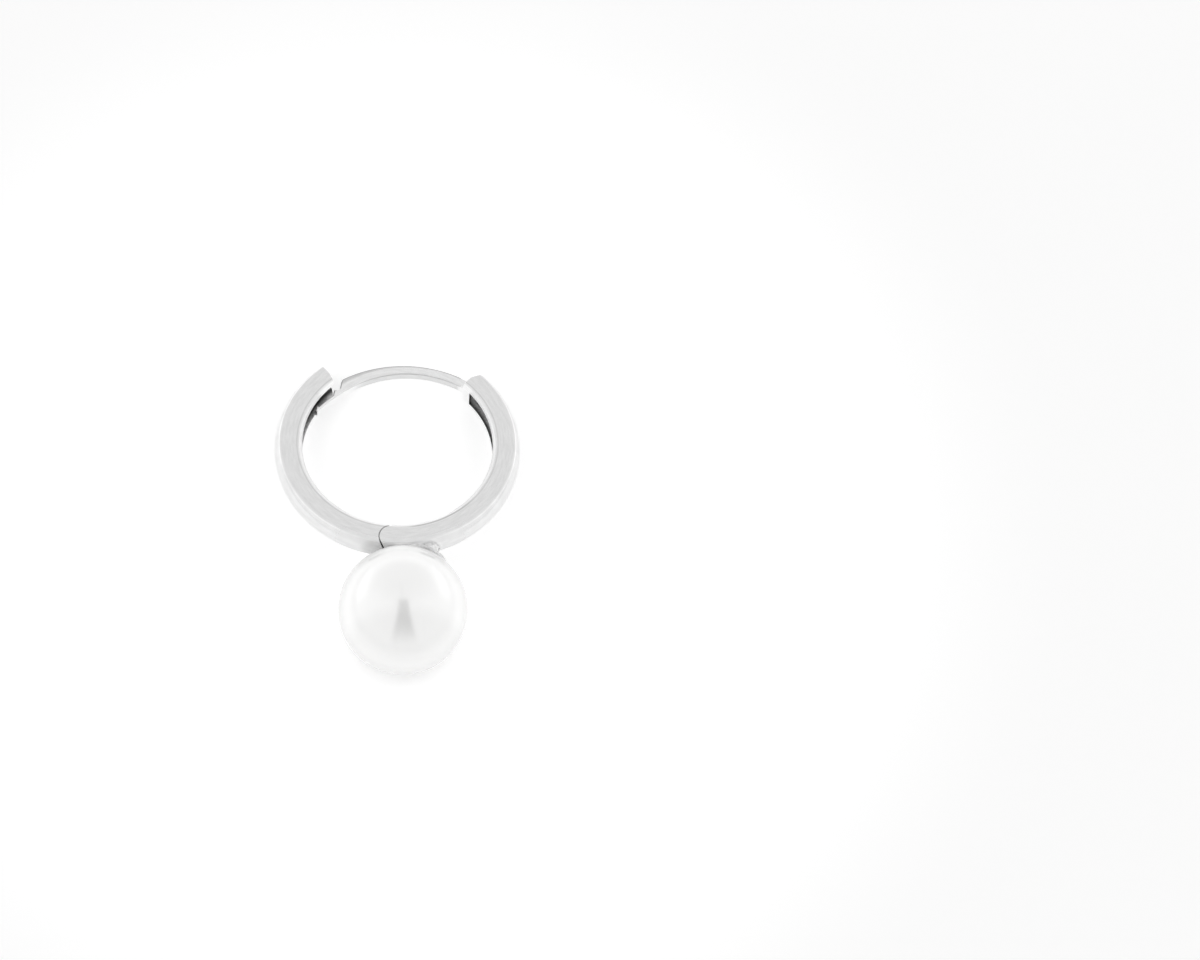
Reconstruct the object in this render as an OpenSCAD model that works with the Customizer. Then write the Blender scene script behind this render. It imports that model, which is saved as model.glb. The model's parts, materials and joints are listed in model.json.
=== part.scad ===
// Hinged hoop earring in white metal, with one round pearl fixed under the hoop.
// The hoop is drawn flat around the origin: its open top is towards +Y, the pearl towards -Y,
// and its axis is Z. lay_down() then rests it on the pearl and the two ends of the arms.

/* [Hoop] */
// Outer diameter of the hoop, over the domed rim
hoop_d = 12.4; // [12:0.1:13]
// Inner diameter of the hoop
hoop_inner_d = 9.6; // [9.4:0.05:9.7]
// Width of the band, along the hoop's axis
band_w = 1.4; // [1.3:0.05:1.6]
// Rise of the domed rim over the band's flat sides
dome_h = 0.28; // [0.2:0.01:0.35]
// Thickness of the channel's two side walls
side_t = 0.22; // [0.18:0.01:0.28]
// Thickness of the rim at the foot of its dome
rim_t = 0.28; // [0.2:0.01:0.35]

/* [Arms] */
// Direction in which the post half ends, counted from +X
post_half_end = 45; // [42:1:50]
// Direction in which the catch half ends, counted from +X
catch_half_end = 129; // [126:1:132]
// Thickness of the plate that closes the post half's channel
end_plate_t = 0.5; // [0.4:0.05:0.6]

/* [Ear post] */
// Width of the post, along the hoop's axis
post_w = 0.5; // [0.4:0.05:0.7]
// Thickness of the post at its highest point
post_t = 0.52; // [0.48:0.01:0.6]
// Height of the post's outer edge over the hoop's centre
post_top = 4.96; // [4.94:0.01:5.02]
// Radius of the post's outer edge
post_outer_r = 6.15; // [6.1:0.05:6.3]
// Radius of the post's inner edge
post_inner_r = 5.18; // [5.1:0.01:5.25]
// Place of the shoulder where the snap notch begins, left of the middle
shoulder_x = 2.72; // [2.65:0.01:2.75]
// Rounding of the shoulder
shoulder_r = 0.3; // [0.2:0.05:0.4]
// Thickness of the tongue past the notch
tongue_t = 0.17; // [0.14:0.01:0.2]
// Radius of the tongue's inner edge
tongue_inner_r = 8.7; // [8:0.1:9.5]
// Direction in which the tongue ends, counted from +X
tongue_end = 150; // [146:1:152]
// Height of the barb near the tongue's tip
barb_h = 0.15; // [0.1:0.01:0.18]

/* [Hinge] */
// Distance of the hinge from the hoop's middle, to the catch half's side
hinge_x = 0.45; // [0.4:0.01:0.5]
// Distance of the hinge below the hoop's centre
hinge_y = 5.58; // [5.55:0.01:5.6]
// Radius of the two outer cheeks
cheek_r = 0.62; // [0.6:0.01:0.64]
// Gap round the cheeks
hinge_gap = 0.04; // [0.03:0.01:0.05]
// Width of the middle knuckle
knuckle_w = 0.54; // [0.5:0.01:0.56]
// Diameter of the pin
pin_d = 0.52; // [0.46:0.02:0.56]
// Cover of metal over each end of the pin
pin_cover = 0.12; // [0.1:0.01:0.15]

/* [Pearl] */
// Diameter of the pearl
pearl_d = 6.45; // [6.3:0.01:6.5]
// Distance from the hoop's centre down to the pearl's centre
pearl_drop = 9.5; // [9.48:0.01:9.6]
// Lean of the cup and peg away from the hinge, in degrees
cup_lean = 20; // [19:0.5:22]
// Diameter of the cup across its edge
cup_d = 2.4; // [2.2:0.1:2.6]
// Thickness of the cup
cup_t = 0.24; // [0.2:0.01:0.26]
// Diameter of the peg in the pearl
peg_d = 0.7; // [0.6:0.05:0.8]
// Depth of the peg in the pearl
peg_depth = 2.2; // [1.8:0.1:2.6]

/* [Hidden] */
$fn = 128;
white_metal = [0.86, 0.87, 0.88];
pearl_white = [0.97, 0.96, 0.94];

// Point on a circle about c, in the direction a
function on_circle(c, r, a) = c + r * [cos(a), sin(a)];

// Radii of the band's section
outer_r = hoop_d / 2;
inner_r = hoop_inner_d / 2;
half_w = band_w / 2;
side_r = outer_r - dome_h;
dome_r = (half_w * half_w + dome_h * dome_h) / (2 * dome_h);
channel_r = side_r - rim_t;
channel_w = band_w - 2 * side_t;

// Directions between which each channel is open
mouth_cut = 1;
post_channel_start = -80;
post_channel_end = post_half_end - end_plate_t / inner_r * 180 / PI;
catch_channel_end = 253;
hinge_reach = 12;

// Hinge: a slot in the post half takes the catch half's middle knuckle
hinge = [-hinge_x, -hinge_y];
knuckle_r = cheek_r - hinge_gap;
slot_r = cheek_r + 2 * hinge_gap;
side_gap = 0.05;
slot_w = knuckle_w + 2 * side_gap;
lip_gap = 0.1;
neck_back = 0.3;
pin_seat = 0.01;
pin_play = 0.03;
pin_len = band_w - 2 * pin_cover;

// Ear post: its edges are arcs, and the tongue's flatter arc runs on from the inner one
post_outer_x = 0.31;
post_inner_x = 0.48;
post_root = 1;
post_outer_c = [post_outer_x, post_top - post_outer_r];
post_inner_c = [post_inner_x, post_top - post_t - post_inner_r];
tongue_start = 122;
tongue_c = on_circle(post_inner_c, post_inner_r - tongue_inner_r, tongue_start);
tongue_outer_r = tongue_inner_r + tongue_t;
barb_back = 1.9;
barb_ramp = 1.4;
overlap = 0.1;

// Pearl and cup share one centre; a thin gap holds the glue
glue_gap = 0.03;
pearl_r = pearl_d / 2;
cup_inner_r = pearl_r + glue_gap;
cup_outer_r = cup_inner_r + cup_t;
stem_d = 1;
stem_top = 3.95;

// The tilt at which the pearl and both arm ends touch one plane
post_foot = on_circle([0, 0], side_r, post_half_end);
catch_foot = on_circle([0, 0], side_r, catch_half_end);
pearl_c = [0, -pearl_drop];
foot_line = (post_foot - catch_foot) / norm(post_foot - catch_foot);
foot_out = [foot_line.y, -foot_line.x];
reach = foot_out * (pearl_c - post_foot);
lie_tilt = asin(pearl_r / norm([reach, half_w])) - atan2(half_w, reach);
floor_up = [sin(lie_tilt) * foot_out.x, sin(lie_tilt) * foot_out.y, cos(lie_tilt)];
floor_z = floor_up * [post_foot.x, post_foot.y, -half_w];

// Sideways shift that puts the middle of the outline over the origin
far_y = post_top * cos(lie_tilt) + post_w / 2 * sin(lie_tilt);
near_y = -pearl_drop * cos(lie_tilt) - pearl_r;
mid_y = (far_y + near_y) / 2;

// Turns the flat hoop about the line through its two arm ends and sets it on the ground
module lay_down()
    translate([0, -mid_y, -floor_z])
        rotate(a = -lie_tilt, v = [foot_line.x, foot_line.y, 0])
            children();

// Half space on one side of x: toward is 1 for the right, -1 for the left
module side_of(x, toward) {
    size = 2 * hoop_d;
    translate([toward > 0 ? x : x - size, -hoop_d, -hoop_d])
        cube([size, size, size]);
}

// Disc round the hinge, w wide along the hoop's axis
module hinge_disc(r, w)
    translate(hinge)
        cylinder(r = r, h = w, center = true);

// Section of the band: flat sides and inside, domed rim
module band_section()
    intersection() {
        translate([outer_r - dome_r, 0])
            circle(r = dome_r);
        translate([inner_r, -half_w])
            square([outer_r - inner_r, band_w]);
    }

// Band between two directions
module band(from, to)
    rotate(from)
        rotate_extrude(angle = to - from)
            band_section();

// Space of the channel between two directions
module channel(from, to)
    rotate(from)
        rotate_extrude(angle = to - from)
            translate([inner_r - mouth_cut, -channel_w / 2])
                square([channel_r - inner_r + mouth_cut, channel_w]);

// Wedge about c between two directions
module sector(c, r, from, to)
    polygon([c, on_circle(c, r, from), on_circle(c, r, (from + to) / 2), on_circle(c, r, to)]);

// Wedge outside a corner circle, cut away to round that corner
module corner_cut(c, r, from, to)
    difference() {
        sector(c, 3 * r, from, to);
        translate(c)
            circle(r = r);
    }

// Ear post seen along the hoop's axis, with shoulder, notch, tongue and barb
module post_outline() {
    corner_x = shoulder_r - shoulder_x;
    corner_run = corner_x - post_outer_c.x;
    corner_rise = sqrt(pow(post_outer_r - shoulder_r, 2) - corner_run * corner_run);
    corner_c = [corner_x, post_outer_c.y + corner_rise];
    tip = on_circle([0, 0], inner_r, tongue_end) - tongue_c;
    tip_dir = atan2(tip.y, tip.x);
    difference() {
        intersection() {
            translate(post_outer_c)
                circle(r = post_outer_r);
            sector([0, 0], hoop_d, post_half_end - post_root, tongue_end);
        }
        translate(post_inner_c)
            circle(r = post_inner_r);
        translate([-shoulder_x - hoop_d, 0])
            square(hoop_d);
        intersection() {
            translate(tongue_c)
                circle(r = tongue_inner_r);
            sector(tongue_c, 2 * hoop_d, tongue_start, tip_dir);
        }
        corner_cut(corner_c, shoulder_r, atan2(corner_rise, corner_run), 180);
    }
    intersection() {
        difference() {
            translate(tongue_c)
                circle(r = tongue_outer_r);
            translate(tongue_c)
                circle(r = tongue_inner_r);
        }
        sector(tongue_c, 2 * hoop_d, tongue_start, tip_dir);
    }
    polygon([
        on_circle(tongue_c, tongue_outer_r - overlap, tip_dir - barb_back),
        on_circle(tongue_c, tongue_outer_r + barb_h, tip_dir - barb_back),
        on_circle(tongue_c, tongue_outer_r, tip_dir - barb_back + barb_ramp),
        on_circle(tongue_c, tongue_outer_r - overlap, tip_dir - barb_back + barb_ramp)
    ]);
}

module ear_post()
    linear_extrude(post_w, center = true)
        post_outline();

// Places its children at the pearl's centre, with Z along the peg towards the hoop
module at_pearl()
    translate([0, -pearl_drop, 0])
        rotate(-cup_lean)
            rotate([-90, 0, 0])
                children();

// Shallow cup behind the pearl, the peg inside it and the stem that joins it to the hoop
module pearl_cup()
    at_pearl() {
        intersection() {
            difference() {
                sphere(r = cup_outer_r);
                sphere(r = cup_inner_r);
            }
            cylinder(d = cup_d, h = pearl_d);
        }
        translate([0, 0, pearl_r - peg_depth])
            cylinder(d = peg_d, h = peg_depth + cup_t);
        translate([0, 0, cup_inner_r + cup_t / 2])
            cylinder(d = stem_d, h = stem_top - cup_inner_r - cup_t / 2);
    }

// Half hoop that carries the post and the pearl
module post_half()
    color(white_metal)
        lay_down()
            difference() {
                union() {
                    difference() {
                        intersection() {
                            band(-90 - hinge_reach, post_half_end);
                            union() {
                                side_of(-hinge_x, 1);
                                hinge_disc(cheek_r, 2 * band_w);
                            }
                        }
                        channel(post_channel_start, post_channel_end);
                    }
                    ear_post();
                    pearl_cup();
                }
                hinge_disc(slot_r, slot_w);
                hinge_disc(pin_d / 2 + pin_seat, pin_len + 2 * pin_seat);
            }

// Half hoop that swings open, with the middle knuckle of the hinge
module catch_half()
    color(white_metal)
        lay_down()
            difference() {
                union() {
                    difference() {
                        band(catch_half_end, 270);
                        side_of(-hinge_x - lip_gap, 1);
                        hinge_disc(cheek_r + hinge_gap, 2 * band_w);
                    }
                    intersection() {
                        band(270 - 2 * hinge_reach, 270 + hinge_reach);
                        hinge_disc(2 * cheek_r, knuckle_w);
                        union() {
                            hinge_disc(knuckle_r, band_w);
                            side_of(-hinge_x - neck_back, -1);
                        }
                    }
                }
                channel(catch_half_end - hinge_reach, catch_channel_end);
                hinge_disc(pin_d / 2 + pin_play, 2 * band_w);
            }

module hinge_pin()
    color(white_metal)
        lay_down()
            hinge_disc(pin_d / 2, pin_len);

// Round pearl, half drilled for the peg
module pearl()
    color(pearl_white)
        lay_down()
            at_pearl()
                difference() {
                    sphere(r = pearl_r);
                    translate([0, 0, pearl_r - peg_depth - glue_gap])
                        cylinder(d = peg_d + 2 * glue_gap, h = pearl_r);
                }

post_half();
catch_half();
hinge_pin();
pearl();
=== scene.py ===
import json
import math

import bmesh
import bpy
from mathutils import Matrix, Vector


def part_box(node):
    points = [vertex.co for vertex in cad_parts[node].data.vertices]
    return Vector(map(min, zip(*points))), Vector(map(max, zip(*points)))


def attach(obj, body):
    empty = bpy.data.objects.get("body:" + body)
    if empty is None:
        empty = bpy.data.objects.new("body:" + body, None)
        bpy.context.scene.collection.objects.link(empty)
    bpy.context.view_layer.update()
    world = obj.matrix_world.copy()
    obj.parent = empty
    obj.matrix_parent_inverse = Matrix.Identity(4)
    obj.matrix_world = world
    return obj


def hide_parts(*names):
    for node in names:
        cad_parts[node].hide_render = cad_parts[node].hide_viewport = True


# Blender's start-up objects go
for leftover in ("Cube", "Camera", "Light"):
    if leftover in bpy.data.objects:
        bpy.data.objects.remove(bpy.data.objects[leftover])

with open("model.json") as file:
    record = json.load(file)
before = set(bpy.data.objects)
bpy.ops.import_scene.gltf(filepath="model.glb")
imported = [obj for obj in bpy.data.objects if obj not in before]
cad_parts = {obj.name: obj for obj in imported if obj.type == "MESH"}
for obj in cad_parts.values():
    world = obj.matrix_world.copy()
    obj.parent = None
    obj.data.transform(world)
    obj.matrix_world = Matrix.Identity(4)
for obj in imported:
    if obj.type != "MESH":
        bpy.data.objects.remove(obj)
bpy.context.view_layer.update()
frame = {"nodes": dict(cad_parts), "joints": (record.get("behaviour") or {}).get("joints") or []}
print("frame loaded:", sorted(frame["nodes"]))

millimetre = 0.001
nearEnough = 0.001  # millimetres between two points that count as one
flatFrom = 0.9  # how much of a face's normal lies along Z where the face counts as flat
hoopBottom = 270  # the direction of the hoop's lowest point, in degrees
alongX, alongY, alongZ = Vector((1, 0, 0)), Vector((0, 1, 0)), Vector((0, 0, 1))

# The hoop is modelled flat, in millimetres: open top to +Y, pearl to -Y, its axis along Z
hoop = {
    "outerRadius": 6.2,
    "sideRadius": 5.92,  # where the flat side meets the dome
    "innerRadius": 4.8,
    "width": 1.4,
    "channelRadius": 5.64,
    "channelWidth": 0.96,
    "hingeX": -0.45,
    "hingeY": -5.58,
}

# The hinge of the frame says how the flat hoop lies down
hingeJoint = frame["joints"][0]
hingeAxis = Vector(hingeJoint["axis"]).normalized()
layTurn = alongZ.rotation_difference(hingeAxis).to_matrix()
hingeOnHoop = Vector((hoop["hingeX"], hoop["hingeY"], 0)) * millimetre
hoopCentre = Vector(hingeJoint["pos_m"]) - layTurn @ hingeOnHoop


def setUpCamera():
    photo = {
        "imageWidth": 1200,
        "imageHeight": 960,
        "hoopCentrePx": (397.35, 450.0),  # where the hoop's centre stands in the photograph
        "pxPerMm": 19.81,
        "distance": 0.4,
        "azimuth": -3.005,
        "elevation": 67.375,
        "roll": 1.557,
        "sensorWidth": 36,
        "clip": (0.01, 10),
    }
    azimuth, elevation = math.radians(photo["azimuth"]), math.radians(photo["elevation"])
    back = Vector((
        math.sin(azimuth) * math.cos(elevation),
        -math.cos(azimuth) * math.cos(elevation),
        math.sin(elevation),
    ))
    right = Vector((math.cos(azimuth), math.sin(azimuth), 0))
    right.rotate(Matrix.Rotation(math.radians(photo["roll"]), 3, back))
    facing = Matrix((right, back.cross(right), back)).transposed()
    focalPx = photo["pxPerMm"] / millimetre * photo["distance"]
    acrossPx = photo["hoopCentrePx"][0] - photo["imageWidth"] / 2
    upPx = photo["imageHeight"] / 2 - photo["hoopCentrePx"][1]
    aim = Vector((acrossPx, upPx, -focalPx)).rotation_difference(-alongZ).to_matrix()
    bpy.ops.object.camera_add()
    camera = bpy.context.object
    camera.name = "camera"
    camera.data.sensor_width = photo["sensorWidth"]
    camera.data.lens = photo["sensorWidth"] * focalPx / photo["imageWidth"]
    camera.data.clip_start, camera.data.clip_end = photo["clip"]
    place = Matrix.Translation(hoopCentre + back * photo["distance"])
    camera.matrix_world = place @ (facing @ aim).to_4x4()
    bpy.context.scene.camera = camera


# Modelling helpers, the steps that one takes by hand

def deselectAll():
    if bpy.context.object and bpy.context.object.mode != "OBJECT":
        bpy.ops.object.mode_set(mode="OBJECT")
    bpy.ops.object.select_all(action="DESELECT")


def takeUp(piece):
    deselectAll()
    piece.select_set(True)
    bpy.context.view_layer.objects.active = piece


def editPiece(piece):
    takeUp(piece)
    bpy.ops.object.mode_set(mode="EDIT")


def pick(kind, test):
    # selects the vertices, edges or faces for which test is true, in edit mode
    bpy.ops.mesh.select_mode(type=kind)
    bpy.ops.mesh.select_all(action="DESELECT")
    mesh = bmesh.from_edit_mesh(bpy.context.object.data)
    for part in {"VERT": mesh.verts, "EDGE": mesh.edges, "FACE": mesh.faces}[kind]:
        if test(part):
            part.select_set(True)
    mesh.select_flush_mode()
    bmesh.update_edit_mesh(bpy.context.object.data)


def drawOutline(name, start, moves, across=alongX, up=alongY):
    # a closed outline of lines and arcs, drawn by extruding and spinning one point
    def spot(point):
        return across * point[0] + up * point[1]

    deselectAll()
    bpy.ops.mesh.primitive_plane_add(size=0.1, location=spot(start))
    outline = bpy.context.object
    outline.name = name
    bpy.ops.object.transform_apply(location=True)
    bpy.ops.object.mode_set(mode="EDIT")
    bpy.ops.mesh.select_mode(type="VERT")
    bpy.ops.mesh.select_all(action="SELECT")
    bpy.ops.mesh.merge(type="CENTER")
    here = Vector(start)
    for move in moves:
        if move[0] == "line":
            step = spot(move[1]) - spot(here)
            bpy.ops.mesh.extrude_vertices_move(TRANSFORM_OT_translate={"value": step})
            here = Vector(move[1])
        else:
            centre, degrees, steps = move[1:]
            bpy.ops.mesh.spin(
                steps=steps, angle=math.radians(degrees), center=spot(centre), axis=up.cross(across)
            )
            here = Vector(centre) + Matrix.Rotation(math.radians(degrees), 2) @ (here - Vector(centre))
    bpy.ops.mesh.select_all(action="SELECT")
    bpy.ops.mesh.remove_doubles(threshold=nearEnough / 2)
    bpy.ops.mesh.edge_face_add()
    return outline


def finishMesh(piece):
    editPiece(piece)
    bpy.ops.mesh.select_all(action="SELECT")
    bpy.ops.mesh.normals_make_consistent(inside=False)
    bpy.ops.object.mode_set(mode="OBJECT")
    return piece


def applyModifier(piece, kind, **settings):
    takeUp(piece)
    bpy.ops.object.modifier_add(type=kind)
    modifier = piece.modifiers[-1]
    for key, value in settings.items():
        setattr(modifier, key, value)
    bpy.ops.object.modifier_apply(modifier=modifier.name)


def combine(piece, tool, operation):
    applyModifier(piece, "BOOLEAN", object=tool, operation=operation, solver="EXACT")
    deselectAll()
    tool.select_set(True)
    bpy.ops.object.delete()


# Band, its channel and its end plate

bandDetail = {
    "rollRadius": 0.3,  # the flat side rolls off towards the inner edge
    "rollDegrees": 62,
    "rollSteps": 10,
    "rimRound": 0.02,
    "domeRoll": 0.22,  # softness of the crease between side and dome
    "domeRollSteps": 8,
    "mouthRound": 0.025,
    "mouthSteps": 2,
    "floorRound": 0.08,
    "floorSteps": 3,
    "domeSteps": 20,
    "degreesPerStep": 1.5,
    "endWithin": 0.3,  # degrees off the band's end that a face of it may lie
    "endSquare": 0.999,
}


def onHoop(radius, degrees, height=0.0):
    angle = math.radians(degrees)
    return Vector((radius * math.cos(angle), radius * math.sin(angle), height))


def directionOf(point):
    return math.degrees(math.atan2(point.y, point.x)) % 360


def drawBandSection(name, atDegrees, hollow=True):
    halfWidth = hoop["width"] / 2
    sag = hoop["outerRadius"] - hoop["sideRadius"]
    domeRadius = (halfWidth ** 2 + sag ** 2) / (2 * sag)
    domeCentre = (hoop["outerRadius"] - domeRadius, 0)
    domeDegrees = 2 * math.degrees(math.asin(halfWidth / domeRadius))
    inner, floor = hoop["innerRadius"], hoop["channelRadius"]
    halfChannel = hoop["channelWidth"] / 2
    roll, rollDegrees = bandDetail["rollRadius"], bandDetail["rollDegrees"]
    rollFall = roll * (1 - math.cos(math.radians(rollDegrees)))
    rollFrom = inner + bandDetail["rimRound"] + roll * math.sin(math.radians(rollDegrees))
    rimHalf = halfWidth - rollFall - bandDetail["rimRound"]
    moves = [
        ("line", (inner + bandDetail["rimRound"], rollFall - halfWidth)),
        ("arc", (rollFrom, roll - halfWidth), rollDegrees, bandDetail["rollSteps"]),
        ("line", (hoop["sideRadius"], -halfWidth)),
        ("arc", domeCentre, domeDegrees, bandDetail["domeSteps"]),
        ("line", (rollFrom, halfWidth)),
        ("arc", (rollFrom, halfWidth - roll), rollDegrees, bandDetail["rollSteps"]),
        ("line", (inner, rimHalf)),
    ]
    if hollow:
        moves += [
            ("line", (inner, halfChannel)),
            ("line", (floor, halfChannel)),
            ("line", (floor, -halfChannel)),
            ("line", (inner, -halfChannel)),
        ]
    moves.append(("line", (inner, -rimHalf)))
    across = onHoop(1, atDegrees)
    section = drawOutline(name, (inner, -rimHalf), moves, across, alongZ)

    def soften(radius, height, size, steps):
        pick("VERT", lambda vertex: abs(vertex.co.dot(across) - radius) < nearEnough
             and abs(abs(vertex.co.z) - height) < nearEnough)
        offset, segments = bandDetail[size], bandDetail[steps]
        bpy.ops.mesh.bevel(offset=offset, segments=segments, affect="VERTICES", profile=0.5)

    soften(hoop["sideRadius"], halfWidth, "domeRoll", "domeRollSteps")
    if hollow:
        soften(inner, halfChannel, "mouthRound", "mouthSteps")
        soften(floor, halfChannel, "floorRound", "floorSteps")
    return section


def spinFaces(degrees):
    # turns the picked faces about the hoop's axis and leaves a solid behind them
    steps = max(2, round(abs(degrees) / bandDetail["degreesPerStep"]))
    bpy.ops.mesh.spin(steps=steps, angle=math.radians(-degrees), center=(0, 0, 0), axis=alongZ)


def endFaces(atDegrees):
    # a test for the faces that close the band off in this direction
    tangent = onHoop(1, atDegrees + 90)

    def test(face):
        off = (directionOf(face.calc_center_median()) - atDegrees + 180) % 360 - 180
        square = abs(face.normal.dot(tangent)) > bandDetail["endSquare"]
        return square and abs(off) < bandDetail["endWithin"]

    return test


def closeChannel(atDegrees):
    # fills the mouth of the channel at one end of the band
    halfChannel = hoop["channelWidth"] / 2 + bandDetail["mouthRound"] + nearEnough
    outward, tangent = onHoop(1, atDegrees), onHoop(1, atDegrees + 90)

    def inMouth(vertex):
        return (
            abs(vertex.co.dot(tangent)) < nearEnough and vertex.co.dot(outward) > 0
            and abs(vertex.co.z) < halfChannel
            and vertex.co.xy.length < hoop["channelRadius"] + nearEnough
        )

    pick("EDGE", lambda edge: all(inMouth(vertex) for vertex in edge.verts))
    bpy.ops.mesh.edge_face_add()


def makeBand(name, openFrom, openTo, solidBefore=0, solidAfter=0):
    # the channel runs from openFrom to openTo, with solid metal before and after it
    start = (openFrom + openTo) / 2
    band = drawBandSection(name, start)
    bpy.ops.mesh.select_all(action="SELECT")
    spinFaces(openTo - start)
    pick("FACE", endFaces(start))
    spinFaces(openFrom - start)
    for end, more in ((openTo, solidAfter), (openFrom, -solidBefore)):
        if more:
            closeChannel(end)
            pick("FACE", endFaces(end))
            spinFaces(more)
            pick("EDGE", lambda edge: edge.is_boundary)  # the channel's end wall
            bpy.ops.mesh.edge_face_add()
    return finishMesh(band)


def rimOf(faceTest):
    # a test for the edges that run round the faces of another test
    return lambda edge: sum(1 for face in edge.link_faces if faceTest(face)) == 1


def raiseOutline(outline, low, high):
    editPiece(outline)
    bpy.ops.mesh.select_all(action="SELECT")
    bpy.ops.transform.translate(value=(0, 0, low))
    bpy.ops.mesh.extrude_region_move(TRANSFORM_OT_translate={"value": (0, 0, high - low)})
    return finishMesh(outline)


def roundArmEnd(band, atDegrees, awayDegrees, arcs):
    # keeps what lies inside a plate whose edge follows the rounded end, seen on the flat side
    outward, beyond = onHoop(1, atDegrees), onHoop(1, awayDegrees)
    far = armDetail["plateReach"]
    moves = []
    for middleX, middleY, radius, fromAngle, toAngle in arcs:
        if not moves:
            start = tuple(pointAbout((middleX, middleY), radius, fromAngle))
        moves.append(("arc", (middleX, middleY), toAngle - fromAngle, armDetail["arcSteps"]))
    moves += [
        ("line", (far, middleY)),
        ("line", (far, -far)),
        ("line", (-far, -far)),
        ("line", (-far, start[1])),
    ]
    plate = drawOutline("end_shape", start, moves, outward, beyond)
    reach = hoop["width"] / 2 + 2 * nearEnough
    raiseOutline(plate, -reach, reach)
    editPiece(plate)
    for side, offset in zip((-1, 1), armDetail["endRound"]):
        pick("EDGE", rimOf(lambda face: face.normal.z * side > flatFrom))
        bpy.ops.mesh.bevel(offset=offset, segments=6, profile=0.5, affect="EDGES")
    finishMesh(plate)
    combine(band, plate, "INTERSECT")


def giveMetals(piece):
    # both metals go on the piece, which is left in edit mode with the cast one in hand
    piece.data.materials.append(polishedMetal)
    piece.data.materials.append(castMetalWithShade)
    piece.active_material_index = 1
    editPiece(piece)


def paintChannel(band):
    # the inside of the channel keeps its raw, unpolished cast skin; its dark colour is partly that skin
    # and partly painted shade
    halfChannel = hoop["channelWidth"] / 2 + nearEnough
    mouth, floor = hoop["innerRadius"] + bandDetail["mouthRound"], hoop["channelRadius"] + nearEnough
    giveMetals(band)

    def inChannel(face):
        middle = face.calc_center_median()
        outermost = max(vertex.co.xy.length for vertex in face.verts)
        return abs(middle.z) < halfChannel and mouth < middle.xy.length and outermost < floor

    pick("FACE", inChannel)
    bpy.ops.object.material_slot_assign()
    bpy.ops.object.mode_set(mode="OBJECT")


# Hinge: round cheeks on the post half, a knuckle between them on the catch half

hingeDetail = {
    "cheekRadius": 0.62,
    "gap": 0.04,
    "gapDrop": 0.028,  # the gap is narrower at its top
    "slotRadius": 0.7,
    "slotWidth": 0.64,
    "knuckleRadius": 0.58,
    "knuckleWidth": 0.54,
    "lipGap": 0.1,
    "neckBack": 0.3,
    "reach": 12,  # degrees of band drawn past the hinge
    "pinBore": 0.27,
    "pinBoreLength": 1.18,
    "knuckleBore": 0.29,
    "knuckleBoreLength": 2,
    "farEnough": 1.5,
    "cutLength": 3,
    "arcSteps": 48,
    "rodSides": 96,
}


def hingeCutter(name, radius, edgeX, awayX, drop=0.0):
    # everything on one side of edgeX, except a round bite about the hinge
    x, y, far = hoop["hingeX"], hoop["hingeY"] - drop, hingeDetail["farEnough"]
    rise = math.sqrt(radius ** 2 - (edgeX - x) ** 2)
    startAngle = math.degrees(math.atan2(rise, edgeX - x))
    sweep = 2 * (180 - startAngle)
    outline = drawOutline(name, (edgeX, y + far), [
        ("line", (edgeX, y + rise)),
        ("arc", (x, y), sweep, hingeDetail["arcSteps"]),
        ("line", (edgeX, y - far)),
        ("line", (awayX, y - far)),
        ("line", (awayX, y + far)),
    ])
    return raiseOutline(outline, -hoop["width"], hoop["width"])


def hingeRod(name, radius, length):
    deselectAll()
    bpy.ops.mesh.primitive_cylinder_add(
        vertices=hingeDetail["rodSides"], radius=radius, depth=length,
        location=(hoop["hingeX"], hoop["hingeY"], 0),
    )
    bpy.context.object.name = name
    bpy.ops.object.transform_apply(location=True)
    return bpy.context.object


def makeKnuckle():
    x, y = hoop["hingeX"], hoop["hingeY"]
    radius, back = hingeDetail["knuckleRadius"], hingeDetail["neckBack"]
    outer = 2 * hingeDetail["cheekRadius"]
    rise = math.sqrt(radius ** 2 - back ** 2)
    outerRise = math.sqrt(outer ** 2 - back ** 2)
    neckAngle = math.degrees(math.atan2(rise, -back))
    outerAngle = math.degrees(math.atan2(outerRise, -back))
    shape = drawOutline("knuckle_shape", (x - back, y + rise), [
        ("line", (x - back, y + outerRise)),
        ("arc", (x, y), 2 * (180 - outerAngle), hingeDetail["arcSteps"]),
        ("line", (x - back, y - rise)),
        ("arc", (x, y), 2 * neckAngle, hingeDetail["arcSteps"]),
    ])
    raiseOutline(shape, -hingeDetail["knuckleWidth"] / 2, hingeDetail["knuckleWidth"] / 2)
    reach = hingeDetail["reach"]
    knuckle = drawBandSection("knuckle", hoopBottom, hollow=False)
    bpy.ops.mesh.select_all(action="SELECT")
    spinFaces(reach)
    pick("FACE", endFaces(hoopBottom))
    spinFaces(-2 * reach)
    finishMesh(knuckle)
    combine(knuckle, shape, "INTERSECT")
    bore = hingeRod("knuckle_bore", hingeDetail["knuckleBore"], hingeDetail["knuckleBoreLength"])
    combine(knuckle, bore, "DIFFERENCE")
    return knuckle


# Ear post: a bent bar with a shoulder, a snap notch and a thin tongue with a barb

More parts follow.
